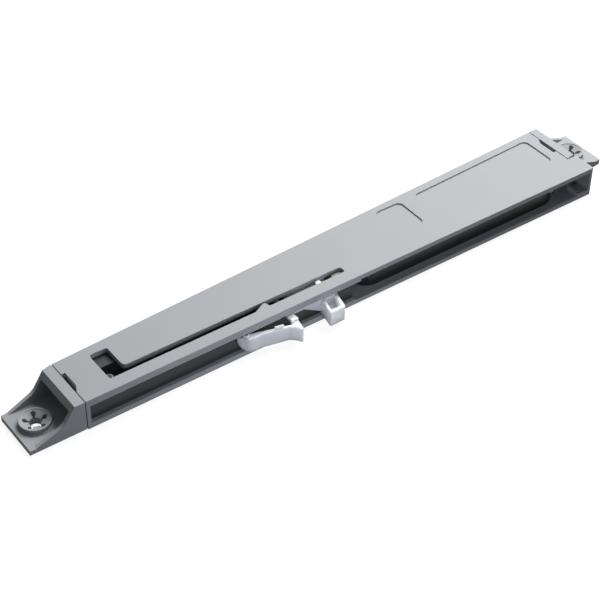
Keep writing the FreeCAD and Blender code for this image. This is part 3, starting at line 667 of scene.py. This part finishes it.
@dataclass
class Studio:
    """White sweep, soft light and the photograph's viewpoint. Lengths are in mm.

    Attributes:
        camera_place: Where the camera stands.
        camera_aim: Point in the middle of its picture.
        camera_roll: Its turn about its own axis, in degrees.
        focal_length: Length of its lens.
        sensor_width: Width of its picture plane.
        nearest_view: Distance at which it starts to see.
        floor_reach: How far the floor reaches from the part.
        floor_drop: Gap under the mounting face, so that the two never share a plane.
        key: Large lamp, high behind the right end, which lights the top.
        near: Small lamp in front, which lights the near side.
        fill_left: Strength of the surrounding light from the left.
        fill_right: Strength of the surrounding light from the right.
        fill_colour: Its colour as sRGB hex.
        background: Strength of the white behind the part.
        paper_shade: Tone that the floor throws back onto the part, as sRGB hex.
        paper_white: Tone of the floor that takes the part's shadow, as sRGB hex.
        paper_glow: Light added to that tone, so that the floor shows white.
        paper_sheen: Brightness of the floor in reflections.
    """

    camera_place: Place = (-135.65, -315.78, 334.41)
    camera_aim: Place = (94.16, -2.70, 5.4)
    camera_roll: float = 0.68
    focal_length: float = 95.8
    sensor_width: float = 36.0
    nearest_view: float = 10.0
    floor_reach: float = 3000.0
    floor_drop: float = 0.05
    key: SoftLamp = SoftLamp("key_light", (440.0, 170.0, 520.0), 420.0, 5.8, WHITE)
    near: SoftLamp = SoftLamp("near_light", (66.0, -105.0, 28.0), 60.0, 0.048, "#eef3ff")
    fill_left: float = 0.0
    fill_right: float = 0.33
    fill_colour: str = "#e9f1ff"
    background: float = 1.0
    paper_shade: str = "#5e5e5e"
    paper_white: str = "#7c7c7c"
    paper_glow: float = 0.9
    paper_sheen: float = 0.9

    def build(self) -> None:
        """Set up camera, floor, world and lamps."""
        self.add_camera()
        self.add_floor()
        self.add_world()
        self.key.hang()
        self.near.hang()

    def add_camera(self) -> None:
        """Create the camera with the photograph's place, aim, roll and lens."""
        data = bpy.data.cameras.new("camera")
        data.lens = self.focal_length
        data.sensor_width = self.sensor_width
        data.clip_start = self.nearest_view * MM
        camera = bpy.data.objects.new("camera", data)
        bpy.context.scene.collection.objects.link(camera)
        place = Vector(self.camera_place) * MM
        way = Vector(self.camera_aim) * MM - place
        look = way.to_track_quat("-Z", "Y").to_matrix().to_4x4()
        roll = Matrix.Rotation(math.radians(self.camera_roll), 4, "Z")
        camera.matrix_world = Matrix.Translation(place) @ look @ roll
        bpy.context.scene.camera = camera

    def add_floor(self) -> None:
        """Lay the white floor just under the part's mounting face."""
        reach, level = self.floor_reach * MM, -self.floor_drop * MM
        corners = [(-reach, -reach, level), (reach, -reach, level),
                   (reach, reach, level), (-reach, reach, level)]
        mesh = bpy.data.meshes.new("floor")
        mesh.from_pydata(corners, [], [(0, 1, 2, 3)])
        mesh.materials.append(self.paper())
        floor = bpy.data.objects.new("floor", mesh)
        bpy.context.scene.collection.objects.link(floor)

    def bent_rays(self, tree: bpy.types.NodeTree,
                  rays: bpy.types.NodeOutputs) -> bpy.types.NodeSocket:
        """Tell the rays that a shiny or clear surface sends on, which see the white background.

        Args:
            tree: Tree to add to.
            rays: Outputs of its Light Path node.

        Returns:
            One for such a ray and zero for any other.
        """
        return add_node(tree, "ShaderNodeMath",
                        {0: rays["Is Glossy Ray"], 1: rays["Is Transmission Ray"]},
                        operation="MAXIMUM").outputs[0]

    def paper(self) -> bpy.types.Material:
        """Make the floor's white paper, which shows white to the camera and keeps the shadow.

        Returns:
            The floor's material.
        """
        material, tree = new_material("white_paper")
        rays = add_node(tree, "ShaderNodeLightPath").outputs
        dim = add_node(tree, "ShaderNodeBsdfDiffuse", {"Color": linear(self.paper_shade)})
        paper = add_node(tree, "ShaderNodeBsdfDiffuse", {"Color": linear(self.paper_white)})
        glow = add_node(tree, "ShaderNodeEmission", {"Strength": self.paper_glow})
        sheen = add_node(tree, "ShaderNodeEmission", {"Strength": self.paper_sheen})
        seen = add_node(tree, "ShaderNodeAddShader", {0: paper.outputs[0], 1: glow.outputs[0]})
        mirrored = add_node(tree, "ShaderNodeMixShader",
                            {0: self.bent_rays(tree, rays), 1: dim.outputs[0],
                             2: sheen.outputs[0]})
        choice = add_node(tree, "ShaderNodeMixShader",
                          {0: rays["Is Camera Ray"], 1: mirrored.outputs[0],
                           2: seen.outputs[0]})
        add_node(tree, "ShaderNodeOutputMaterial", {"Surface": choice.outputs[0]})
        return material

    def add_world(self) -> None:
        """Light everything softly, least from the left, and show white behind the part."""
        world = bpy.data.worlds.new("studio")
        bpy.context.scene.world = world
        world.use_nodes = True
        tree = world.node_tree
        tree.nodes.clear()
        rays = add_node(tree, "ShaderNodeLightPath").outputs
        shown = add_node(tree, "ShaderNodeMath",
                         {0: rays["Is Camera Ray"], 1: self.bent_rays(tree, rays)},
                         operation="MAXIMUM").outputs[0]
        around = add_node(tree, "ShaderNodeTexCoord").outputs["Generated"]
        way = add_node(tree, "ShaderNodeSeparateXYZ", {"Vector": around})
        fill = add_node(tree, "ShaderNodeMapRange",
                        {"Value": way.outputs["X"], "From Min": -1.0, "From Max": 1.0,
                         "To Min": self.fill_left, "To Max": self.fill_right})
        strength = add_node(tree, "ShaderNodeMix",
                            {"Factor": shown, 2: fill.outputs["Result"], 3: self.background},
                            data_type="FLOAT")
        tint = add_node(tree, "ShaderNodeMix",
                        {"Factor": shown, "A": linear(self.fill_colour), "B": linear(WHITE)},
                        data_type="RGBA")
        sky = add_node(tree, "ShaderNodeBackground",
                       {"Color": mixed_colour(tint), "Strength": strength.outputs[0]})
        add_node(tree, "ShaderNodeOutputWorld", {"Surface": sky.outputs[0]})


def main() -> None:
    """Build the looks of the whole part."""
    logging.basicConfig(level=logging.INFO, format="%(name)s: %(message)s")
    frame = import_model()
    bpy.context.scene.view_settings.view_transform = "Standard"
    Studio().build()
    finishes = Finishes()
    for group in (Shell(), Runner(), Damper()):
        group.dress(frame["nodes"], finishes)
    Springs().build(finishes.get(finishes.wire))


if __name__ == "__main__":
    main()
